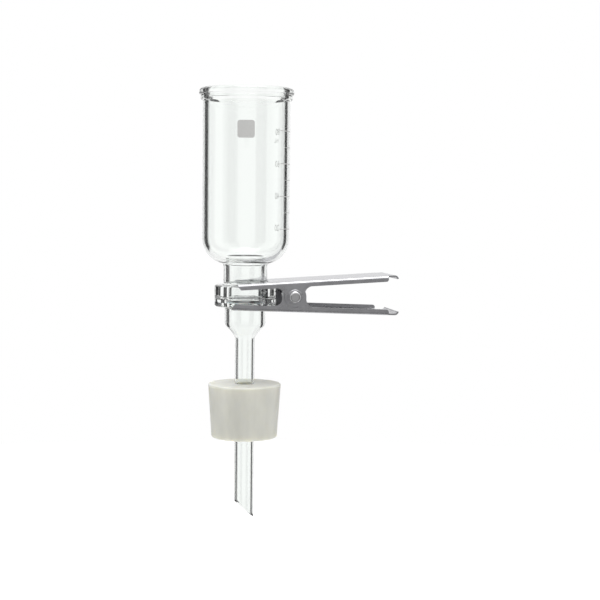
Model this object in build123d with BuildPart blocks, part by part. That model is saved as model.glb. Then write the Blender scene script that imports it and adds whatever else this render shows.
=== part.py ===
from build123d import *
import math
import os

# A 25 mm membrane-filter holder: a graduated glass funnel and a glass support base meet at two
# ground flanges, a spring clamp pinches the flanges together, and a silicone stopper on the stem
# seats the holder in a receiving flask. Millimetres, +Z up along the glass axis. The origin is on
# that axis at the stopper's lower face, and the clamp's handles point along +X.

# ---- driving dimensions -------------------------------------------------------------------
wall = 2.5  # glass wall of the funnel
base_wall = 2.0  # glass wall of the base body
parting_z = 70.0  # the ground faces meet here

funnel_r = 21.75  # outside of the graduated cylinder
funnel_top = 174.0
bead_r = 23.6  # fire-polished rim bead
bead_height = 3.1
collar_r = 22.75  # smaller ring under the bead
collar_z = 168.7  # it runs out into the cylinder below this height
collar_taper = 1.2
bowl_round = 13.0  # outside radius of the round shoulder
bowl_z = 100.0  # where the cylinder turns into the shoulder
neck_r = 10.9
neck_blend = 1.8  # outside radius between shoulder and neck

flange_r = 15.4
funnel_flange = 6.7  # flange thicknesses
base_flange = 4.1
flange_edge = 1.0  # rounding of the flanges' free edges
flange_root = 1.2  # glass fillet where a flange meets its tube
ground_chamfer = 0.3  # outer edge of the ground faces

body_r = 10.2  # base body below the flange
stem_r = 4.9
stem_wall = 1.3
shoulder_top = 56.8  # the body narrows to the stem between these heights
shoulder_low = 50.6
bevel_high = -32.5  # the drip tip is cut from here down to the tip
tip_z = -41.0

screen_r = 9.4
screen_thick = 1.7
gasket_thick = 0.4
screen_gap = 0.3  # round the screen in its recess
hole_r = 0.5  # drain holes in rings
hole_pitch = 1.8
hole_rings = 4

stopper_top_r = 18.3
stopper_low_r = 16.5
stopper_height = 27.0
stopper_edge = 0.7

fit = 0.05  # running clearance, radial
rub = 0.1  # between plates that slide on each other

sheet = 0.8  # clamp metal
channel_upper = 16.45  # outer half widths of the two arms
channel_lower = channel_upper - rub
bend_r = 1.3  # outer bend of the channel
wall_depth = 2.85  # web and side wall together
pivot_u = 22.6  # pivot along the handles, from the glass axis
pivot_z = 71.6
web_height = 7.63  # outer face of each web above or below the pivot
arm_tilt = 2.65  # each arm against the clamp's mid plane
clamp_tilt = 0.75  # mid plane rises towards the handles
ear_upper = 5.0  # the lower arm's ears lie inside the upper arm's
ear_lower = 5.9
ear_blend = 4.0
ear_notch = 5.35  # room in the lower arm's walls for the turning ears
slot_r = 12.0  # fork slot round the glass
tip_slope = 1.3  # jaw tips lean back over this length
lip_r = 2.2  # curled end of each handle
lip_turn = 80
lip_half = 14.4  # half width of the tongue and its lip
jaw_upper = 27.6  # jaw tips ahead of the pivot
jaw_lower = 30.8
handle = 47.7  # side walls end this far behind the pivot
tongue = 3.4  # flat web beyond the side walls

rivet_r = 1.5
head_r = 2.9
head_height = 1.3
washer_r = 3.7
washer_thick = 0.6

wire_r = 0.7
coil_r = 2.9
coil_passes = 6  # times the coil comes back to the upper leg's side
coil_pitch = 1.5
leg_rise = 28  # degrees, where the legs leave the coil
leg_run = 11.0  # length of each leg that lies along its web

os.makedirs("parts", exist_ok=True)


def rings(part, radius, height):
    """The circular edges of this radius at this height."""
    return part.edges().filter_by(
        lambda edge: edge.geom_type == GeomType.CIRCLE
        and abs(edge.radius - radius) < 0.01
        and abs(edge.center().Z - height) < 0.01
    )


def finish(part, name):
    """Names a finished piece and writes its STEP file."""
    part.label = name
    export_step(part, f"parts/{name}.step")
    print(name, round(part.volume, 1), "mm3")


# ---- funnel -------------------------------------------------------------------------------
# The arcs inside and outside share their centres, so the glass keeps one thickness all the way.
bore_r = funnel_r - wall
neck_bore = neck_r - wall
bowl_centre = funnel_r - bowl_round
blend_centre = neck_r + neck_blend
blend_z = bowl_z - math.sqrt((bowl_round + neck_blend) ** 2 - (blend_centre - bowl_centre) ** 2)
meet = math.degrees(math.atan2(bowl_z - blend_z, blend_centre - bowl_centre))
bead_z = funnel_top - bead_height
flange_top = parting_z + funnel_flange


def on_bowl(radius, degrees):
    """A point of the section at an angle round the shoulder's centre."""
    turn = math.radians(degrees)
    return (bowl_centre + radius * math.cos(turn), bowl_z + radius * math.sin(turn))


def on_blend(radius, degrees):
    """A point of the section at an angle round the neck blend's centre."""
    turn = math.radians(degrees)
    return (blend_centre + radius * math.cos(turn), blend_z + radius * math.sin(turn))


with BuildPart() as funnel:
    with BuildSketch(Plane.XZ):
        with BuildLine():
            Polyline(
                (neck_bore, blend_z),
                (neck_bore, parting_z),
                (flange_r, parting_z),
                (flange_r, flange_top),
                (neck_r, flange_top),
                (neck_r, blend_z),
            )
            ThreePointArc(*[on_blend(neck_blend, 180 - meet * k) for k in (0, 0.5, 1)])
            ThreePointArc(*[on_bowl(bowl_round, -meet * k) for k in (1, 0.5, 0)])
            Polyline(
                (funnel_r, bowl_z),
                (funnel_r, collar_z - collar_taper),
                (collar_r, collar_z),
                (collar_r, bead_z),
                (bead_r, bead_z),
                (bead_r, funnel_top),
                (bore_r, funnel_top),
                (bore_r, bowl_z),
            )
            ThreePointArc(*[on_bowl(bowl_round - wall, -meet * k) for k in (0, 0.5, 1)])
            ThreePointArc(*[on_blend(neck_blend + wall, 180 - meet * k) for k in (1, 0.5, 0)])
        make_face()
    revolve(axis=Axis.Z)
    fillet(rings(funnel, bead_r, funnel_top), 1.8)
    fillet(rings(funnel, bead_r, bead_z), 0.7)
    fillet(rings(funnel, bore_r, funnel_top), 1.5)
    fillet(rings(funnel, flange_r, flange_top), flange_edge)
    fillet(rings(funnel, neck_r, flange_top), flange_root)
    chamfer(rings(funnel, flange_r, parting_z), ground_chamfer)
finish(funnel.part, "funnel")

# ---- support base -------------------------------------------------------------------------
# Its flange is recessed for the gasket and the screen. The body narrows to a thin stem, which
# ends in a slanted drip tip that points the same way as the clamp's handles.
body_bore = body_r - base_wall
stem_bore = stem_r - stem_wall
flange_low = parting_z - base_flange
recess_r = screen_r + screen_gap
recess_depth = screen_thick + gasket_thick

with BuildPart() as support_base:
    with BuildSketch(Plane.XZ):
        with BuildLine():
            Polyline(
                (recess_r, parting_z),
                (flange_r, parting_z),
                (flange_r, flange_low),
                (body_r, flange_low),
                (body_r, shoulder_top),
                (stem_r, shoulder_low),
                (stem_r, tip_z),
                (stem_bore, tip_z),
                (stem_bore, shoulder_low),
                (body_bore, shoulder_top),
                (body_bore, parting_z - recess_depth),
                (recess_r, parting_z - recess_depth),
                close=True,
            )
        make_face()
    revolve(axis=Axis.Z)
    fillet(rings(support_base, body_r, shoulder_top), 4.0)
    fillet(rings(support_base, body_bore, shoulder_top), 3.0)
    fillet(rings(support_base, stem_r, shoulder_low), 4.5)
    fillet(rings(support_base, stem_bore, shoulder_low), 5.5)
    fillet(rings(support_base, flange_r, flange_low), flange_edge)
    fillet(rings(support_base, body_r, flange_low), flange_root)
    chamfer(rings(support_base, flange_r, parting_z), ground_chamfer)
    slant = math.degrees(math.atan2(bevel_high - tip_z, 2 * stem_r))
    split(bisect_by=Plane.XY.offset((bevel_high + tip_z) / 2).rotated((0, slant, 0)), keep=Keep.TOP)
finish(support_base.part, "support_base")

# ---- gasket, screen -----------------------------------------------------------------------
gasket_z = parting_z - recess_depth
with BuildPart() as ptfe_gasket:
    with BuildSketch(Plane.XY.offset(gasket_z)):
        Circle(screen_r)
        Circle(body_bore, mode=Mode.SUBTRACT)
    extrude(amount=gasket_thick)
finish(ptfe_gasket.part, "ptfe_gasket")

with BuildPart() as support_screen:
    with BuildSketch(Plane.XY.offset(gasket_z + gasket_thick)):
        Circle(screen_r)
        Circle(hole_r, mode=Mode.SUBTRACT)
        for ring in range(1, hole_rings + 1):
            with PolarLocations(ring * hole_pitch, 6 * ring):
                Circle(hole_r, mode=Mode.SUBTRACT)
    extrude(amount=screen_thick)
    chamfer(rings(support_screen, screen_r, parting_z), 0.2)
finish(support_screen.part, "support_screen")

# ---- stopper ------------------------------------------------------------------------------
with BuildPart() as stopper:
    with BuildSketch(Plane.XY):
        Circle(stopper_low_r)
    with BuildSketch(Plane.XY.offset(stopper_height)):
        Circle(stopper_top_r)
    loft()
    Hole(stem_r + fit)
    fillet(rings(stopper, stopper_top_r, stopper_height) + rings(stopper, stopper_low_r, 0), stopper_edge)
finish(stopper.part, "stopper")

# ---- clamp --------------------------------------------------------------------------------
# Two pressed channels share one pivot. In an arm's own plane x runs along the handle, y across
# it, and z from the pivot to the web, so the lower arm is drawn like the upper one, upside down.
pivot = Vector(pivot_u, 0, pivot_z)


def arm_plane(side):
    """The plane of the upper arm (side 1) or of the lower arm (side -1)."""
    slope = math.radians(clamp_tilt + side * arm_tilt)
    normal = (-side * math.sin(slope), 0, side * math.cos(slope))
    return Plane(origin=pivot, x_dir=(math.cos(slope), 0, math.sin(slope)), z_dir=normal)


def side_plane(frame):
    """The upright plane through an arm's length, with the arm's x and z as its axes."""
    return Plane(origin=pivot, x_dir=frame.x_dir, z_dir=frame.x_dir.cross(frame.z_dir))


def section_plane(frame, x):
    """The plane across an arm at x along it, with the arm's y and z as its axes."""
    return Plane(origin=pivot + frame.x_dir * x, x_dir=frame.y_dir, z_dir=frame.x_dir)


wall_edge = web_height - wall_depth
web_inner = web_height - sheet
tongue_end = handle + tongue


def bent_section(half):
    """Draws the channel's cross-section, tall enough to cut the ears from its walls."""
    foot = -ear_lower - 1
    with BuildLine() as outline:
        FilletPolyline(
            (half, foot), (half, web_height), (-half, web_height), (-half, foot), radius=bend_r
        )
        offset(amount=sheet, side=Side.LEFT)
    make_face(outline.edges())


def arm_outline(jaw):
    """Draws an arm from the side: jaw tip, wall, and the web alone at the tongue."""
    above = web_height + 1
    with BuildLine() as outline:
        Polyline(
            (-jaw, above),
            (-jaw, web_height - tip_slope),
            (-jaw + tip_slope, wall_edge),
            (handle, wall_edge),
            (handle, web_inner),
            (tongue_end, web_inner),
            (tongue_end, above),
            close=True,
        )
    make_face(outline.edges())
    corner = Vertex(handle, wall_edge, 0)
    fillet(vertices().sort_by_distance(corner)[0], 0.6 * (web_inner - wall_edge))


def ear_outline(radius):
    """Draws an ear round the pivot, blended into the side wall."""
    side = radius + ear_blend + 1
    with BuildLine() as outline:
        Polyline(
            (-radius, 0),
            (-radius, wall_edge),
            (-side, wall_edge),
            (-side, web_inner),
            (side, web_inner),
            (side, wall_edge),
            (radius, wall_edge),
            (radius, 0),
        )
        ThreePointArc((radius, 0), (0, -radius), (-radius, 0))
    make_face(outline.edges())
    for x in (-radius, radius):
        fillet(vertices().sort_by_distance(Vertex(x, wall_edge, 0))[0], ear_blend)


def lip_outline():
    """Draws the curled end of the handle from the side."""
    centre = (tongue_end, web_height - lip_r)
    turn = math.radians(90 - lip_turn)
    ends = [
        (centre[0] + r * math.cos(turn), centre[1] + r * math.sin(turn))
        for r in (lip_r, lip_r - sheet)
    ]
    with BuildLine() as outline:
        CenterArc(centre, lip_r, 90 - lip_turn, lip_turn)
        Polyline(
            (tongue_end, web_height),
            (tongue_end - 1, web_height),
            (tongue_end - 1, web_inner),
            (tongue_end, web_inner),
        )
        CenterArc(centre, lip_r - sheet, 90 - lip_turn, lip_turn)
        Line(*ends)
    make_face(outline.edges())


def fork_slot():
    """Draws the fork's slot from above, round the glass and open ahead of the jaw tips."""
    with Locations((-pivot_u, 0)):
        Circle(slot_r)
    with Locations((-pivot_u - slot_r, 0)):
        Rectangle(2 * slot_r, 2 * slot_r)


def tongue_sides():
    """Draws what is cut from the web beside the tongue."""
    width = channel_upper - lip_half + 1
    for side in (1, -1):
        with Locations((handle + lip_r, side * (lip_half + width / 2))):
            Rectangle(2 * lip_r, width)


upper = arm_plane(1)
with BuildPart() as clamp_upper_arm:
    with BuildSketch(section_plane(upper, -jaw_upper)):
        bent_section(channel_upper)
    extrude(amount=jaw_upper + tongue_end)
    with BuildSketch(side_plane(upper)):
        arm_outline(jaw_upper)
        ear_outline(ear_upper)
    extrude(amount=channel_upper + 1, both=True, mode=Mode.INTERSECT)
    with BuildSketch(side_plane(upper)):
        lip_outline()
    extrude(amount=lip_half, both=True)
    with BuildSketch(upper.offset(web_inner - 1)):
        fork_slot()
        tongue_sides()
    extrude(amount=sheet + 2, mode=Mode.SUBTRACT)
    with BuildSketch(side_plane(upper)):
        Circle(rivet_r + fit)
    extrude(amount=channel_upper + 1, both=True, mode=Mode.SUBTRACT)
finish(clamp_upper_arm.part, "clamp_upper_arm")

lower = arm_plane(-1)
plate_inner = channel_lower - 2 * sheet
with BuildPart() as clamp_lower_arm:
    with BuildSketch(section_plane(lower, -jaw_lower)):
        bent_section(channel_lower)
    extrude(amount=jaw_lower + tongue_end)
    with BuildSketch(side_plane(lower)):
        arm_outline(jaw_lower)
    extrude(amount=channel_lower + 1, both=True, mode=Mode.INTERSECT)
    with BuildSketch(side_plane(lower)):
        Circle(ear_notch)
    extrude(amount=channel_lower + 1, both=True, mode=Mode.SUBTRACT)
    for side in (1, -1):
        with BuildSketch(side_plane(lower).offset(side * plate_inner)):
            ear_outline(ear_lower)
        extrude(amount=side * sheet)
    with BuildSketch(side_plane(lower)):
        lip_outline()
    extrude(amount=lip_half, both=True)
    with BuildSketch(lower.offset(web_inner - 1)):
        fork_slot()
        tongue_sides()
    extrude(amount=sheet + 2, mode=Mode.SUBTRACT)
    with BuildSketch(side_plane(lower)):
        Circle(rivet_r)
    extrude(amount=channel_lower + 1, both=True, mode=Mode.SUBTRACT)
finish(clamp_lower_arm.part, "clamp_lower_arm")

# ---- rivet and washers --------------------------------------------------------------------
washer_y = channel_upper + rub
head_y = washer_y + washer_thick


def outward_plane(side, y):
    """The plane across the pivot's axis at y on one side of the clamp, facing outwards."""
    return Plane(origin=pivot + Vector(0, side * y, 0), x_dir=(1, 0, 0), z_dir=(0, side, 0))


with BuildPart() as pivot_rivet:
    with BuildSketch(outward_plane(1, 0)):
        Circle(rivet_r)
    extrude(amount=head_y, both=True)
    for side in (1, -1):
        with BuildSketch(outward_plane(side, head_y)):
            Circle(head_r)
        extrude(amount=head_height)
    faces_out = pivot_rivet.faces().sort_by(Axis.Y)
    fillet(faces_out[0].edges() + faces_out[-1].edges(), 0.85 * head_height)
finish(pivot_rivet.part, "pivot_rivet")

with BuildPart() as pivot_washers:
    for side in (1, -1):
        with BuildSketch(outward_plane(side, washer_y)):
            Circle(washer_r)
            Circle(rivet_r + fit, mode=Mode.SUBTRACT)
        extrude(amount=washer_thick)
    faces_out = pivot_washers.faces().sort_by(Axis.Y)
    rims = (faces_out[0].edges() + faces_out[-1].edges()).filter_by(lambda edge: edge.radius > head_r)
    fillet(rims, 0.35)
finish(pivot_washers.part, "pivot_washers")

# ---- torsion spring -----------------------------------------------------------------------
# It winds round the rivet between the ears. Its legs leave the coil at its top and its bottom,
# rise to the two webs and lie along them, so they push the handles apart.
rise = math.radians(leg_rise)
turns = (360 * coil_passes - 180 - 2 * (leg_rise + arm_tilt)) / 360
coil_length = turns * coil_pitch
coil_start = math.radians(clamp_tilt - 90 - leg_rise - arm_tilt)
coil_plane = Plane(
    origin=pivot - Vector(0, coil_length / 2, 0),
    x_dir=(math.cos(coil_start), 0, math.sin(coil_start)),
    z_dir=(0, 1, 0),
)
coil_line = coil_plane * Helix(coil_pitch, coil_length, coil_r)
leg_height = web_inner - wire_r - rub
leave = (-coil_r * math.sin(rise), coil_r * math.cos(rise))
climb = (leg_height - leave[1]) / math.tan(rise)


def leg_plane(side):
    """The upright plane of one leg, with x along its arm and y towards that arm's web."""
    plane = side_plane(upper if side == 1 else lower)
    return Plane(
        origin=pivot + Vector(0, side * coil_length / 2, 0), x_dir=plane.x_dir, z_dir=plane.z_dir
    )


with BuildPart() as torsion_spring:
    with BuildSketch(Plane(origin=coil_line @ 0, z_dir=coil_line % 0)):
        Circle(wire_r)
    sweep(path=coil_line, is_frenet=True)
    for side in (1, -1):
        with BuildLine(leg_plane(side)) as leg:
            FilletPolyline(
                leave,
                (leave[0] + climb, leg_height),
                (leave[0] + climb + leg_run, leg_height),
                radius=3 * wire_r,
            )
        with BuildSketch(Plane(origin=leg.line @ 0, z_dir=leg.line % 0)):
            Circle(wire_r)
        sweep(path=leg.line)
finish(torsion_spring.part, "torsion_spring")
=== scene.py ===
# %% [markdown]
# # A membrane-filter holder in glass, steel and silicone
# The holder is a graduated glass funnel on a glass support base. A sprung pinch clamp grips their
# two flanges, and a silicone stopper on the stem seats it in a flask. The shapes come from the
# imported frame, and this lesson gives each piece its finish, then lights it as a catalogue would.

# %% Load the frame
import math

import bmesh
import bpy
from mathutils import Matrix, Vector


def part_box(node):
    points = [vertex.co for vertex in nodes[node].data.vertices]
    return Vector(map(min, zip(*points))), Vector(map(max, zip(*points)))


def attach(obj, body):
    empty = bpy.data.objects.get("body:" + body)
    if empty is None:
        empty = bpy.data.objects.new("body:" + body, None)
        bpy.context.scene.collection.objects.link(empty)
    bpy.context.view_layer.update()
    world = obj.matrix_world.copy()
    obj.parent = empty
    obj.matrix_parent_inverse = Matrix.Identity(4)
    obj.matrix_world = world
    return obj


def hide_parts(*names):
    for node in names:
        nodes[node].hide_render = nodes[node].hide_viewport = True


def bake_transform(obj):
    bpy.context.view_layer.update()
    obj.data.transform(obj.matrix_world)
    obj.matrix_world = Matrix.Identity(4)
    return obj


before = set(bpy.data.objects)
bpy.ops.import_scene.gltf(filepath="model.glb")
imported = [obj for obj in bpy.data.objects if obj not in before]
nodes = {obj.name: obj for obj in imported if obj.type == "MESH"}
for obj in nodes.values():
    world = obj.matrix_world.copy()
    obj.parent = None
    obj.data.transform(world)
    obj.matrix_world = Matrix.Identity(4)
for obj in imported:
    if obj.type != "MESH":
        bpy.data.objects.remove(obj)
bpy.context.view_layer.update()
print("nodes:", sorted(nodes))

# %% [markdown]
# ## Helpers for turned glass
# Laboratory glass is round, because it is blown and drawn on a lathe. So the glass is modelled the
# same way: half of its cut section is traced, point by point, and then spun round the axis. A
# spun shell has smooth walls of true thickness, which is what bends light in real glass.

# %% Trace a section and spin it
mm = 0.001


def start_clean():
    """Leaves edit mode and deselects everything, so an operator acts only on what comes next."""
    if bpy.context.mode != "OBJECT":
        bpy.ops.object.mode_set(mode="OBJECT")
    bpy.ops.object.select_all(action="DESELECT")


def trace(name, outline):
    """Extrudes one vertex along an outline of (radius, height) pairs and stays in edit mode."""
    start_clean()
    radius, height = outline[0]
    bpy.ops.mesh.primitive_plane_add(size=mm, location=(radius, 0, height))
    piece = bpy.context.active_object
    piece.name = name
    bpy.ops.object.transform_apply(location=True)
    bpy.ops.object.mode_set(mode="EDIT")
    bpy.ops.mesh.merge(type="CENTER")
    for (r0, z0), (r1, z1) in zip(outline, outline[1:]):
        bpy.ops.mesh.extrude_region_move(TRANSFORM_OT_translate={"value": (r1 - r0, 0, z1 - z0)})
    return piece


def turn_on_lathe(piece, steps):
    """Spins the traced section round the glass axis and closes the seams."""
    bpy.ops.mesh.select_all(action="SELECT")
    bpy.ops.mesh.remove_doubles(threshold=0.002 * mm)
    bpy.ops.mesh.spin(steps=steps, angle=2 * math.pi, center=(0, 0, 0), axis=(0, 0, 1))
    bpy.ops.mesh.select_all(action="SELECT")
    bpy.ops.mesh.remove_doubles(threshold=0.002 * mm)
    bpy.ops.mesh.normals_make_consistent(inside=False)
    bpy.ops.object.mode_set(mode="OBJECT")
    bpy.ops.object.shade_smooth_by_angle(angle=math.radians(32))
    print(piece.name, len(piece.data.polygons), "faces")
    return piece


# %% Arcs and rounded corners of a section
def arc(centre_r, centre_z, radius, start, end, steps=14):
    """Points round an arc of the section, from one angle to the other."""
    turns = [math.radians(start + (end - start) * i / steps) for i in range(steps + 1)]
    return [(centre_r + radius * math.cos(t), centre_z + radius * math.sin(t)) for t in turns]


def rounded(before, corner, after, radius, steps=8):
    """Points that round a corner between two straight runs."""
    at, one, two = Vector(corner), Vector(before), Vector(after)
    one, two = (one - at).normalized(), (two - at).normalized()
    half = one.angle(two) / 2
    centre = at + (one + two).normalized() * (radius / math.sin(half))
    first = at + one * (radius / math.tan(half)) - centre
    last = at + two * (radius / math.tan(half)) - centre
    turns = [first.slerp(last, i / steps).normalized() for i in range(steps + 1)]
    return [tuple(centre + turn * radius) for turn in turns]


# %% [markdown]
# ## The funnel
# The cylinder runs down into a round shoulder and a short neck, all with one wall of 2.5 mm, then
# into a thick flange whose lower face is ground flat. The rim is a bead, fire polished to a soft
# round, with a smaller collar under it. The arcs inside and outside share their centres, so that
# the wall keeps its thickness.

# %% Measures of the funnel
glass_wall = 2.5 * mm
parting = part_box("funnel")[0].z
funnel_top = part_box("funnel")[1].z
rim_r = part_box("funnel")[1].x
tube_r = 21.75 * mm
tube_bore = tube_r - glass_wall
neck_r = 10.9 * mm
neck_bore = neck_r - glass_wall
flange_r = 15.4 * mm
flange_top = parting + 6.7 * mm
flange_edge, flange_root, ground_chamfer = 1.0 * mm, 1.2 * mm, 0.3 * mm
bead_low = funnel_top - 3.1 * mm
bead_over, bead_under, mouth_round = 1.8 * mm, 0.7 * mm, 1.5 * mm
collar_r, collar_z = 22.75 * mm, 168.7 * mm
collar_taper, collar_root = 1.2 * mm, 0.3 * mm
bowl_z = 100.0 * mm
bowl_r, blend_r = 13.0 * mm, 1.8 * mm
bowl_centre = tube_r - bowl_r
blend_centre = neck_r + blend_r
blend_z = bowl_z - math.sqrt((bowl_r + blend_r) ** 2 - (blend_centre - bowl_centre) ** 2)
meet = math.degrees(math.atan2(bowl_z - blend_z, blend_centre - bowl_centre))
print("parting face at", round(parting / mm, 2), "mm, rim radius", round(rim_r / mm, 2), "mm")

# %% Trace and spin the funnel
outside = (
    [
        (neck_bore, parting),
        (flange_r - ground_chamfer, parting),
        (flange_r, parting + ground_chamfer),
    ]
    + rounded((flange_r, parting), (flange_r, flange_top), (neck_r, flange_top), flange_edge)
    + rounded((flange_r, flange_top), (neck_r, flange_top), (neck_r, blend_z), flange_root)
    + arc(blend_centre, blend_z, blend_r, 180, 180 - meet)
    + arc(bowl_centre, bowl_z, bowl_r, -meet, 0, 28)[1:]
)
rim = (
    [(tube_r, collar_z - collar_taper), (collar_r, collar_z)]
    + rounded((collar_r, collar_z), (collar_r, bead_low), (rim_r, bead_low), collar_root, 3)
    + rounded((collar_r, bead_low), (rim_r, bead_low), (rim_r, funnel_top), bead_under, 6)
    + rounded((rim_r, bead_low), (rim_r, funnel_top), (tube_bore, funnel_top), bead_over, 9)
    + rounded((rim_r, funnel_top), (tube_bore, funnel_top), (tube_bore, bowl_z), mouth_round, 9)
)
inside = (
    arc(bowl_centre, bowl_z, bowl_r - glass_wall, 0, -meet, 28)
    + arc(blend_centre, blend_z, blend_r + glass_wall, 180 - meet, 180)[1:]
    + [(neck_bore, parting)]
)
funnel_glass = turn_on_lathe(trace("funnel_glass", outside + rim + inside), 288)

# %% [markdown]
# ## The support base
# The base starts with a thinner flange, recessed for the gasket and the screen. Below it a short
# body narrows through two soft bends into the stem. The drip tip is cut on a slant, which on the
# lathe is the last step: the spun tube is bisected by a tilted plane, and the two open loops that
# the cut leaves, one outside and one in the bore, are bridged into a flat ring.

# %% Measures of the base
body_r = 10.2 * mm
base_wall = 2.0 * mm
body_bore = body_r - base_wall
stem_r = 4.9 * mm
stem_wall = 1.3 * mm
stem_bore = stem_r - stem_wall
base_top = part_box("support_base")[1].z
base_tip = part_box("support_base")[0].z
base_low = base_top - 4.1 * mm
screen_gap = 0.3 * mm
recess_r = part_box("support_screen")[1].x + screen_gap
recess_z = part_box("ptfe_gasket")[0].z
shoulder, throat = 56.8 * mm, 50.6 * mm
cut_high = -32.5 * mm
shoulder_bend, throat_bend = 4.0 * mm, 4.5 * mm
shoulder_bore_bend, throat_bore_bend = 3.0 * mm, 5.5 * mm
print("stem from", round(throat / mm, 1), "down to", round(base_tip / mm, 1), "mm")

# %% Trace, spin and cut the base
outside = (
    [
        (recess_r, base_top),
        (flange_r - ground_chamfer, base_top),
        (flange_r, base_top - ground_chamfer),
    ]
    + rounded((flange_r, base_top), (flange_r, base_low), (body_r, base_low), flange_edge)
    + rounded((flange_r, base_low), (body_r, base_low), (body_r, shoulder), flange_root)
    + rounded((body_r, base_low), (body_r, shoulder), (stem_r, throat), shoulder_bend)
    + rounded((body_r, shoulder), (stem_r, throat), (stem_r, base_tip), throat_bend)
)
inside = (
    rounded((stem_bore, base_tip), (stem_bore, throat), (body_bore, shoulder), throat_bore_bend)
    + rounded((stem_bore, throat), (body_bore, shoulder), (body_bore, recess_z), shoulder_bore_bend)
    + [(body_bore, recess_z), (recess_r, recess_z), (recess_r, base_top)]
)
base_glass = trace("base_glass", outside + [(stem_r, base_tip), (stem_bore, base_tip)] + inside)
turn_on_lathe(base_glass, 256)
bpy.ops.object.mode_set(mode="EDIT")
bpy.ops.mesh.select_all(action="SELECT")
middle = Vector((0, 0, (cut_high + base_tip) / 2))
slant = Vector((cut_high - base_tip, 0, 2 * stem_r)).normalized()
bpy.ops.mesh.bisect(plane_co=middle, plane_no=slant, clear_inner=True)
bpy.ops.mesh.select_all(action="DESELECT")
bpy.ops.mesh.select_mode(type="EDGE")
for edge in bmesh.from_edit_mesh(base_glass.data).edges:
    edge.select = edge.is_boundary
bpy.ops.mesh.bridge_edge_loops()
bpy.ops.mesh.select_mode(type="VERT")
bpy.ops.object.mode_set(mode="OBJECT")
bpy.ops.object.shade_smooth_by_angle(angle=math.radians(32))
print("tip reaches", round(min(v.co.z for v in base_glass.data.vertices) / mm, 2), "mm")

# %% [markdown]
# ## The silicone stopper
# A stopper is one moulded cone of rubber with a hole up its middle. Its two rims are slightly
# soft from the mould. It is turned like the glass, with the hole a running fit on the stem.

# %% Trace and spin the stopper
stopper_low, stopper_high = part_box("stopper")[0].z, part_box("stopper")[1].z
running_fit, stopper_edge = 0.05 * mm, 0.7 * mm
low_r, high_r, hole_r = 16.5 * mm, 18.3 * mm, stem_r + running_fit
side = (
    rounded((hole_r, stopper_low), (low_r, stopper_low), (high_r, stopper_high), stopper_edge, 6)
    + rounded((low_r, stopper_low), (high_r, stopper_high), (hole_r, stopper_high), stopper_edge, 6)
)
ring = [(hole_r, stopper_low)] + side + [(hole_r, stopper_high), (hole_r, stopper_low)]
stopper_rubber = turn_on_lathe(trace("stopper_rubber", ring), 128)
print("stopper", round((stopper_high - stopper_low) / mm, 2), "mm tall")

# %% [markdown]
# ## The torsion spring
# The spring is one length of round wire: a coil wound round the rivet, and two legs that press
# on the webs. A circle swept by the Screw modifier makes the coil. Each leg is then pulled out of
# the coil's open end: extruded straight, turned through its bend with spin, and extruded again.

# %% Wind the coil
pivot = (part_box("pivot_rivet")[0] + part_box("pivot_rivet")[1]) / 2
wire_r, coil_r, pitch = 0.7 * mm, 2.9 * mm, 1.5 * mm
clamp_tilt, arm_tilt, rise = math.radians(0.75), math.radians(2.65), math.radians(28)
turns = 5.5 - (rise + arm_tilt) / math.pi
coil_length = turns * pitch
start_clean()
bpy.ops.mesh.primitive_circle_add(vertices=20, radius=wire_r, location=(coil_r, 0, 0))
spring_wire = bpy.context.active_object
spring_wire.name = "spring_wire"
bpy.ops.object.transform_apply(location=True)
bpy.ops.object.modifier_add(type="SCREW")
winding = spring_wire.modifiers["Screw"]
winding.axis, winding.angle, winding.screw_offset = "Y", turns * 2 * math.pi, coil_length
winding.steps = winding.render_steps = 190
winding.use_normal_calculate = True
bpy.ops.object.modifier_apply(modifier="Screw")
spring_wire.rotation_euler.y = math.radians(90) + rise + arm_tilt - clamp_tilt
spring_wire.location = pivot - Vector((0, coil_length / 2, 0))
bpy.ops.object.transform_apply(location=True, rotation=True)
print("coil", round(coil_length / mm, 2), "mm long,", round(turns, 2), "turns")

# %% Pull a leg out of each end
web_gap = 6.03 * mm  # from the pivot to the middle of a leg lying on its web
leg_bend, leg_run = 2.1 * mm, 11.0 * mm


def pull_leg(side):
    """Extrudes the coil's open end up to the web of one arm and along it."""
    slope = clamp_tilt + side * arm_tilt
    along = Vector((math.cos(slope), 0, math.sin(slope)))
    to_web = side * Vector((-math.sin(slope), 0, math.cos(slope)))
    climb = along * math.cos(rise) + to_web * math.sin(rise)
    inwards = along * math.sin(rise) - to_web * math.cos(rise)
    end = [e for e in bmesh.from_edit_mesh(spring_wire.data).edges if e.is_boundary]
    bpy.ops.mesh.select_all(action="DESELECT")
    for edge in end:
        edge.select = (edge.verts[0].co.y - pivot.y) * side > 0
    ring = {v for e in end for v in e.verts if v.select}
    middle = sum((v.co for v in ring), Vector()) / len(ring)
    tangent = leg_bend * math.tan(rise / 2)
    lift = (web_gap - coil_r * math.cos(rise)) / math.sin(rise) - tangent
    bpy.ops.mesh.extrude_region_move(TRANSFORM_OT_translate={"value": climb * lift})
    centre = middle + climb * lift + inwards * leg_bend
    bpy.ops.mesh.spin(steps=6, angle=-side * rise, center=centre, axis=(0, 1, 0))
    bpy.ops.mesh.extrude_region_move(TRANSFORM_OT_translate={"value": along * (leg_run - tangent)})
    bpy.ops.mesh.extrude_region_move(TRANSFORM_OT_translate={"value": along * 0.15 * mm})
    bpy.ops.transform.resize(value=(0.8, 0.8, 0.8))
    bpy.ops.mesh.edge_face_add()


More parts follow.
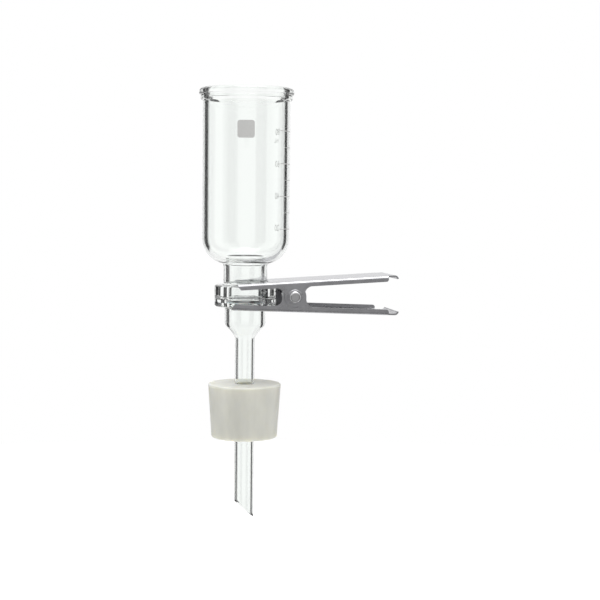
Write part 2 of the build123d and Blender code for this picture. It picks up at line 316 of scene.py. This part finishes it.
bpy.ops.object.mode_set(mode="EDIT")
bpy.ops.mesh.select_mode(type="EDGE")
pull_leg(1)
pull_leg(-1)
bpy.ops.mesh.select_mode(type="VERT")
bpy.ops.mesh.select_all(action="SELECT")
bpy.ops.mesh.normals_make_consistent(inside=False)
bpy.ops.object.mode_set(mode="OBJECT")
bpy.ops.object.shade_smooth_by_angle(angle=math.radians(40))

# %% [markdown]
# ## The enamel scale
# The volume scale is printed on the outside of the tube in fired enamel: long marks numbered in
# twenties of millilitres, and a short mark half way between two of them. A mark is a short upright
# edge, spun through its angle just proud of the glass. The numbers are text made into a mesh and
# laid on the wall with the Shrinkwrap modifier.

# %% Print the marks
enamel_r = tube_r + 0.04 * mm
first_mark, mark_pitch = 104.8 * mm, 16.0 * mm
mark_start, long_end, short_end = -14.5, 18.5, 0


def print_mark(name, height, start, end):
    """Spins a thin band of enamel between two angles, in degrees from +X."""
    start_clean()
    bpy.ops.mesh.primitive_plane_add(size=mm, location=(enamel_r, 0, height))
    mark = bpy.context.active_object
    mark.name = name
    bpy.ops.object.transform_apply(location=True)
    bpy.ops.object.mode_set(mode="EDIT")
    bpy.ops.mesh.merge(type="CENTER")
    bpy.ops.transform.translate(value=(0, 0, -0.2 * mm))
    bpy.ops.mesh.extrude_region_move(TRANSFORM_OT_translate={"value": (0, 0, 0.4 * mm)})
    bpy.ops.mesh.select_all(action="SELECT")
    bpy.ops.mesh.spin(
        steps=max(4, int(end - start)), angle=math.radians(end - start), center=(0, 0, 0), axis=(0, 0, 1)
    )
    bpy.ops.object.mode_set(mode="OBJECT")
    mark.rotation_euler.z = math.radians(start)
    bpy.ops.object.transform_apply(rotation=True)
    return mark


marks = []
for number in range(4):
    height = first_mark + number * mark_pitch
    marks.append(print_mark(f"long_mark_{number}", height, mark_start, long_end))
    if number < 3:
        half_way = height + mark_pitch / 2
        marks.append(print_mark(f"short_mark_{number}", half_way, mark_start, short_end))
start_clean()
for mark in marks:
    mark.select_set(True)
bpy.context.view_layer.objects.active = marks[0]
bpy.ops.object.join()
enamel_marks = bpy.context.active_object
enamel_marks.name = "enamel_marks"
print(len(marks), "marks,", len(enamel_marks.data.polygons), "faces")


# %% Print the numbers
def lay_on_glass(piece):
    """Wraps a flat piece of enamel on the outside of the tube."""
    start_clean()
    piece.select_set(True)
    bpy.context.view_layer.objects.active = piece
    bpy.ops.object.modifier_add(type="SHRINKWRAP")
    wrap = piece.modifiers["Shrinkwrap"]
    wrap.target, wrap.offset, wrap.wrap_mode = funnel_glass, enamel_r - tube_r, "ABOVE_SURFACE"
    bpy.ops.object.modifier_apply(modifier="Shrinkwrap")


def print_words(name, words, size, angle, height):
    """Sets words upright on the glass at an angle from +X, read from outside."""
    start_clean()
    turn = math.radians(angle)
    place = (enamel_r * math.cos(turn), enamel_r * math.sin(turn), height)
    facing = (math.pi / 2, 0, turn + math.pi / 2)
    bpy.ops.object.text_add(location=place, rotation=facing)
    lettering = bpy.context.active_object
    lettering.data.body, lettering.data.size = words, size
    lettering.data.align_x, lettering.data.align_y = "CENTER", "CENTER"
    lettering.data.resolution_u = 3
    bpy.ops.object.convert(target="MESH")
    lettering = bpy.context.active_object
    lettering.name = name
    bpy.ops.object.transform_apply(location=True, rotation=True)
    bpy.ops.object.mode_set(mode="EDIT")
    bpy.ops.mesh.select_all(action="SELECT")
    bpy.ops.mesh.quads_convert_to_tris()
    bpy.ops.mesh.subdivide(number_cuts=1)
    bpy.ops.object.mode_set(mode="OBJECT")
    lay_on_glass(lettering)
    return lettering


numbers = [
    print_words(f"number_{i}", str(20 * (i + 1)), 4.6 * mm, 28.0, first_mark + i * mark_pitch)
    for i in range(4)
]
numbers.append(print_words("unit", "mL", 3.2 * mm, 31.0, first_mark + 3 * mark_pitch - 4.2 * mm))
start_clean()
for lettering in numbers:
    lettering.select_set(True)
bpy.context.view_layer.objects.active = numbers[0]
bpy.ops.object.join()
enamel_numbers = bpy.context.active_object
enamel_numbers.name = "enamel_numbers"
print(len(enamel_numbers.data.polygons), "faces of lettering")

# %% [markdown]
# ## The writing patch
# Such a funnel has a small patch of enamel that takes a pencil, so that a sample's number can be
# written on the glass. It is a rounded square: a plane, its corners bevelled, cut into a fine
# grid, and then laid on the wall like the numbers.

# %% Print the patch
patch_size, patch_angle, patch_z = 8.5 * mm, -97.5, 153.0 * mm
start_clean()
turn = math.radians(patch_angle)
place = (enamel_r * math.cos(turn), enamel_r * math.sin(turn), patch_z)
facing = (math.pi / 2, 0, turn + math.pi / 2)
bpy.ops.mesh.primitive_plane_add(size=patch_size, location=place, rotation=facing)
writing_patch = bpy.context.active_object
writing_patch.name = "writing_patch"
bpy.ops.object.transform_apply(location=True, rotation=True)
bpy.ops.object.mode_set(mode="EDIT")
bpy.ops.mesh.select_all(action="SELECT")
bpy.ops.mesh.bevel(offset=1.3 * mm, segments=8, affect="VERTICES")
bpy.ops.mesh.select_all(action="SELECT")
bpy.ops.mesh.quads_convert_to_tris()
bpy.ops.mesh.subdivide(number_cuts=5)
bpy.ops.object.mode_set(mode="OBJECT")
lay_on_glass(writing_patch)
print(len(writing_patch.data.polygons), "faces in the patch")

# %% [markdown]
# ## Clear glass
# Borosilicate glass bends light with an index of 1.474, and its faint green shows only along the
# long way through a wall. The tube was drawn, so faint lines run down it: a noise stretched along
# the height tints the glass and bends its surface very slightly. The ground faces of the flanges
# get a rough finish of their own, because grinding leaves them white and matte.

# %% A helper for finishes
def finish_named(name):
    """Makes a material and returns it with its shader and its node tree."""
    material = bpy.data.materials.new(name)
    material.use_nodes = True
    shader = material.node_tree.nodes["Principled BSDF"]
    return material, shader, material.node_tree


def add(tree, kind, **settings):
    """Adds a node. Settings name its properties, or its inputs when they start with a capital."""
    node = tree.nodes.new(kind)
    for key, value in settings.items():
        if key[0].isupper():
            node.inputs[key.replace("_", " ")].default_value = value
        else:
            setattr(node, key, value)
    return node


def stretched_noise(tree, stretch, scale, detail, roughness=0.5):
    """Noise on the piece's own place, stretched along x, y and z. Returns its Fac socket."""
    place = add(tree, "ShaderNodeTexCoord").outputs["Object"]
    mapping = add(tree, "ShaderNodeMapping")
    mapping.inputs["Scale"].default_value = stretch
    noise = add(tree, "ShaderNodeTexNoise", Scale=scale, Detail=detail, Roughness=roughness)
    tree.links.new(place, mapping.inputs["Vector"])
    tree.links.new(mapping.outputs["Vector"], noise.inputs["Vector"])
    return noise.outputs["Fac"]


def bump_from(tree, height, distance, strength):
    """Turns a height into a bump for a shader's Normal input."""
    bump = add(tree, "ShaderNodeBump", Distance=distance, Strength=strength)
    tree.links.new(height, bump.inputs["Height"])
    return bump.outputs["Normal"]


def colour_between(tree, factor, low, high, start=0.0, end=1.0):
    """A colour that runs from low to high as the factor goes from start to end."""
    ramp = add(tree, "ShaderNodeValToRGB")
    ramp.color_ramp.elements[0].position, ramp.color_ramp.elements[1].position = start, end
    ramp.color_ramp.elements[0].color, ramp.color_ramp.elements[1].color = low, high
    tree.links.new(factor, ramp.inputs["Fac"])
    return ramp.outputs["Color"]


# %% Mix the clear and the ground glass
clear_glass, shader, tree = finish_named("clear_glass")
shader.inputs["Transmission Weight"].default_value = 1.0
shader.inputs["IOR"].default_value = 1.474
shader.inputs["Roughness"].default_value = 0.0
lines = stretched_noise(tree, (1, 1, 0.02), 260, 1)
tint = colour_between(tree, lines, (0.972, 0.992, 0.978, 1), (0.985, 0.998, 0.988, 1))
tree.links.new(tint, shader.inputs["Base Color"])
tree.links.new(bump_from(tree, lines, 0.002 * mm, 0.1), shader.inputs["Normal"])

ground_glass, shader, tree = finish_named("ground_glass")
shader.inputs["Transmission Weight"].default_value = 1.0
shader.inputs["IOR"].default_value = 1.474
shader.inputs["Roughness"].default_value = 0.42
grit = stretched_noise(tree, (1, 1, 1), 5200, 4, 0.7)
white = colour_between(tree, grit, (0.86, 0.89, 0.87, 1), (0.97, 0.98, 0.97, 1))
tree.links.new(white, shader.inputs["Base Color"])
tree.links.new(bump_from(tree, grit, 0.02 * mm, 0.6), shader.inputs["Normal"])

for piece, face_z in ((funnel_glass, parting), (base_glass, base_top)):
    piece.data.materials.clear()
    piece.data.materials.append(clear_glass)
    piece.data.materials.append(ground_glass)
    ground = [
        p for p in piece.data.polygons if abs(p.center.z - face_z) < 0.02 * mm and abs(p.normal.z) > 0.9
    ]
    for face in ground:
        face.material_index = 1
    print(piece.name, "has", len(ground), "ground faces")

# %% [markdown]
# ## Silicone
# Moulded silicone is a milky rubber. Light goes a few millimetres into it and comes out again, so
# its edges look brighter and warmer than its core. Subsurface scattering does that. Cloudy
# patches, dust and the mould's fine grain are on its surface.

# %% Mix the silicone
silicone, shader, tree = finish_named("silicone")
clouds = stretched_noise(tree, (1, 1, 0.35), 130, 4, 0.55)
milk = colour_between(tree, clouds, (0.52, 0.52, 0.475, 1), (0.61, 0.61, 0.56, 1), 0.3, 0.7)
tree.links.new(milk, shader.inputs["Base Color"])
shader.inputs["Subsurface Weight"].default_value = 0.85
shader.inputs["Subsurface Radius"].default_value = (1.0, 0.93, 0.72)
shader.inputs["Subsurface Scale"].default_value = 6 * mm
shader.inputs["IOR"].default_value = 1.41
grain = stretched_noise(tree, (1, 1, 1), 1500, 5, 0.6)
shine = add(tree, "ShaderNodeMapRange", To_Min=0.36, To_Max=0.54)
tree.links.new(clouds, shine.inputs["Value"])
tree.links.new(shine.outputs["Result"], shader.inputs["Roughness"])
tree.links.new(bump_from(tree, grain, 0.03 * mm, 0.35), shader.inputs["Normal"])
stopper_rubber.data.materials.clear()
stopper_rubber.data.materials.append(silicone)
print("silicone on", stopper_rubber.name)

# %% [markdown]
# ## Steels, gasket and enamel
# The clamp is pressed from polished steel: bright, but with a fine grain along the strip, hairline
# scratches and dull patches from handling. The wire is drawn, so its grain is finer. The screen is
# duller, and the gasket is soft white plastic, a little waxy.

# %% Mix the polished steel
def polished(name, stretch, colour, dull):
    """Steel with a drawn grain along one direction, scratches and handling marks."""
    steel, shader, tree = finish_named(name)
    shader.inputs["Metallic"].default_value = 1.0
    grain = stretched_noise(tree, stretch, 1400, 3, 0.6)
    wear = stretched_noise(tree, (1, 1, 1), 160, 5, 0.62)
    tint = colour_between(tree, wear, tuple(0.8 * c for c in colour) + (1,), colour + (1,), 0.3, 0.6)
    tree.links.new(tint, shader.inputs["Base Color"])
    shine = add(tree, "ShaderNodeMapRange", From_Min=0.3, From_Max=0.75, To_Min=dull, To_Max=dull * 2.2)
    tree.links.new(wear, shine.inputs["Value"])
    tree.links.new(shine.outputs["Result"], shader.inputs["Roughness"])
    tree.links.new(bump_from(tree, grain, 0.012 * mm, 0.3), shader.inputs["Normal"])
    return steel


strip_steel = polished("polished_steel", (0.03, 1, 1), (0.56, 0.56, 0.58), 0.20)
rivet_steel = polished("rivet_steel", (1, 0.05, 1), (0.72, 0.72, 0.73), 0.16)
wire_steel = polished("drawn_wire", (1, 1, 1), (0.60, 0.60, 0.61), 0.16)
screen_steel = polished("screen_steel", (1, 1, 1), (0.34, 0.34, 0.35), 0.24)
finishes = {
    "clamp_upper_arm": strip_steel,
    "clamp_lower_arm": strip_steel,
    "pivot_rivet": rivet_steel,
    "pivot_washers": strip_steel,
    "support_screen": screen_steel,
}
spring_wire.data.materials.clear()
spring_wire.data.materials.append(wire_steel)
print("steels:", [m.name for m in (strip_steel, rivet_steel, wire_steel, screen_steel)])

# %% Mix the gasket's plastic and the enamel
white_ptfe, shader, tree = finish_named("white_ptfe")
haze = stretched_noise(tree, (1, 1, 1), 420, 4)
tree.links.new(
    colour_between(tree, haze, (0.80, 0.80, 0.78, 1), (0.88, 0.88, 0.86, 1)), shader.inputs["Base Color"]
)
shader.inputs["Subsurface Weight"].default_value = 0.3
shader.inputs["Subsurface Scale"].default_value = 1.0 * mm
shader.inputs["Roughness"].default_value = 0.42
tree.links.new(bump_from(tree, haze, 0.03 * mm, 0.4), shader.inputs["Normal"])
finishes["ptfe_gasket"] = white_ptfe

enamel, shader, tree = finish_named("fired_enamel")
speckle = stretched_noise(tree, (1, 1, 1), 2600, 3, 0.7)
tree.links.new(
    colour_between(tree, speckle, (0.40, 0.40, 0.39, 1), (0.56, 0.56, 0.55, 1)), shader.inputs["Base Color"]
)
shader.inputs["Roughness"].default_value = 0.55
tree.links.new(bump_from(tree, speckle, 0.01 * mm, 0.5), shader.inputs["Normal"])
for piece in (enamel_marks, enamel_numbers, writing_patch):
    piece.data.materials.clear()
    piece.data.materials.append(enamel)
for name, material in finishes.items():
    nodes[name].data.materials.clear()
    nodes[name].data.materials.append(material)
print("finished nodes:", sorted(finishes))

# %% [markdown]
# ## Riding on the frame
# Each new piece but the spring names the body that carries it, and the node it stands for is
# hidden. The spring's place is baked into its mesh, and the torsion spring node is hidden. The
# two glass pieces cast no shadow, so that the lamp reaches the top of the stopper under them.

# %% Attach the pieces
for piece, body, node, slot in (
    (funnel_glass, "funnel", "funnel", "clear_glass"),
    (base_glass, "base", "support_base", "clear_glass"),
    (stopper_rubber, "stopper", "stopper", "silicone"),
):
    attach(piece, body)
    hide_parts(node)
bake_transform(spring_wire)
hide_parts("torsion_spring")
for piece in (enamel_marks, enamel_numbers, writing_patch):
    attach(piece, "funnel")
for piece in (funnel_glass, base_glass):
    piece.visible_shadow = False

# %% [markdown]
# ## Light
# Glass has no colour of its own to show, so it is lit by what stands behind it. A white screen
# straight behind the object fills the glass with light, and the dark room on each side of that
# screen draws the thick walls as dark lines. The same screen stands on four sides. Between two
# screens the room stays dark, so glass that is seen across such a gap looks dark as well.
# The steel mirrors a darker room with a bright ceiling and a soft light in front.

# %% Build the room
scene = bpy.context.scene
world = bpy.data.worlds.new("light_room")
scene.world = world
world.use_nodes = True
room = world.node_tree
room.nodes.clear()
behind = math.radians(80.5)
half_gap = math.radians(45)  # from the middle of one screen to half way to the next


def maths(operation, first, second=None):
    """A Math node on sockets or numbers. Returns its output."""
    node = add(room, "ShaderNodeMath", operation=operation)
    for i, value in enumerate((first, second)):
        if value is None:
            continue
        if isinstance(value, (int, float)):
            node.inputs[i].default_value = value
        else:
            room.links.new(value, node.inputs[i])
    return node.outputs[0]


def fade(value, start, end, low, high):
    """Goes smoothly from low to high while value goes from start to end."""
    node = add(room, "ShaderNodeMapRange", interpolation_type="SMOOTHSTEP")
    for key, number in (("From Min", start), ("From Max", end), ("To Min", low), ("To Max", high)):
        node.inputs[key].default_value = number
    room.links.new(value, node.inputs["Value"])
    return node.outputs["Result"]


def blend_light(factor, first, second):
    """Mixes two greys."""
    node = add(room, "ShaderNodeMix", data_type="FLOAT")
    room.links.new(factor, node.inputs["Factor"])
    for i, value in ((2, first), (3, second)):
        if isinstance(value, (int, float)):
            node.inputs[i].default_value = value
        else:
            room.links.new(value, node.inputs[i])
    return node.outputs[0]


place = add(room, "ShaderNodeSeparateXYZ")
room.links.new(add(room, "ShaderNodeTexCoord").outputs["Generated"], place.inputs[0])
east, north, up = place.outputs
bearing = maths("ARCTAN2", north, east)
from_screen = maths("PINGPONG", maths("SUBTRACT", bearing, behind), half_gap)
print("screens every 90 degrees, first at", round(math.degrees(behind), 1))

# %% Light the glass, the steel and the rest
screens = fade(from_screen, math.radians(26), math.radians(30), 1.0, 0.015)
corners = fade(from_screen, math.radians(41), math.radians(43), 0.0, 0.12)
above = fade(up, 0.80, 0.92, 0.0, 1.0)
below = fade(up, -0.36, -0.30, 1.0, 0.0)
for_glass = maths("MAXIMUM", maths("MAXIMUM", screens, corners), maths("MAXIMUM", above, below))
front = fade(north, -0.98, -0.80, 0.42, 0.06)
far_screens = maths("MULTIPLY", screens, fade(north, -0.6, -0.2, 0.0, 1.0))
wall_light = maths("MAXIMUM", maths("MAXIMUM", front, far_screens), fade(up, 0.22, 0.40, 0.0, 0.95))
for_steel = maths("MAXIMUM", wall_light, fade(up, -0.45, -0.2, 0.3, 0.0))
for_rest = fade(up, -0.6, 0.6, 0.3, 0.9)
rays = add(room, "ShaderNodeLightPath")
light = blend_light(rays.outputs["Is Glossy Ray"], for_rest, for_steel)
light = blend_light(rays.outputs["Is Transmission Ray"], light, for_glass)
light = blend_light(rays.outputs["Is Camera Ray"], light, 1.0)
background = add(room, "ShaderNodeBackground", Color=(1, 1, 1, 1))
room.links.new(light, background.inputs["Strength"])
output = add(room, "ShaderNodeOutputWorld")
room.links.new(background.outputs[0], output.inputs["Surface"])
print("room has", len(room.nodes), "nodes")

# %% Hang the lamp and lay the floor
def hang_lamp(name, position, size, power):
    """Hangs a soft square lamp that looks at the clamp. It isn't seen itself."""
    bpy.ops.object.light_add(type="AREA", location=position)
    lamp = bpy.context.active_object
    lamp.name = name
    lamp.data.size, lamp.data.energy = size, power
    aim = Vector((0, 0, parting)) - Vector(position)
    lamp.rotation_euler = aim.to_track_quat("-Z", "Y").to_euler()
    lamp.visible_camera = lamp.visible_transmission = False


start_clean()
hang_lamp("overhead_lamp", (0.05, -0.15, 0.9), 0.7, 5.5)
bpy.ops.mesh.primitive_circle_add(vertices=96, radius=1.9, fill_type="NGON", location=(0, 0, -0.35))
pale_floor = bpy.context.active_object
pale_floor.name = "pale_floor"
floor_paint, shader, tree = finish_named("pale_floor")
shader.inputs["Base Color"].default_value = (0.9, 0.9, 0.9, 1)
shader.inputs["Roughness"].default_value = 0.9
shader.inputs["Emission Color"].default_value = (1, 1, 1, 1)
shader.inputs["Emission Strength"].default_value = 0.35
pale_floor.data.materials.append(floor_paint)
pale_floor.visible_glossy = pale_floor.visible_transmission = False
print("floor at", pale_floor.location.z, "m")

# %% [markdown]
# ## Camera
# The camera stands a little above the flanges, a bit to the left, and near enough to show the
# underside of the rim and the top of the stopper at once. The holder's axis leans a touch in it.

# %% Stand the camera
forward = Vector((math.cos(behind), math.sin(behind), 0))
right = Vector((math.sin(behind), -math.cos(behind), 0))
aside, away, height = 0.0275, 0.650, 0.117
spot = right * aside - forward * away + Vector((0, 0, height))
pitch, roll = math.radians(4.2), math.radians(0.62)
look = forward * math.cos(pitch) - Vector((0, 0, math.sin(pitch)))
bpy.ops.object.camera_add(location=spot)
camera = bpy.context.active_object
camera.data.lens, camera.data.sensor_width = 78, 36
camera.data.clip_start, camera.data.clip_end = 0.01, 20
turned = look.to_track_quat("-Z", "Y").to_matrix() @ Matrix.Rotation(roll, 3, "Z")
camera.rotation_euler = turned.to_euler()
scene.camera = camera
scene.view_settings.view_transform = "Standard"
print("camera at", [round(c, 3) for c in spot])
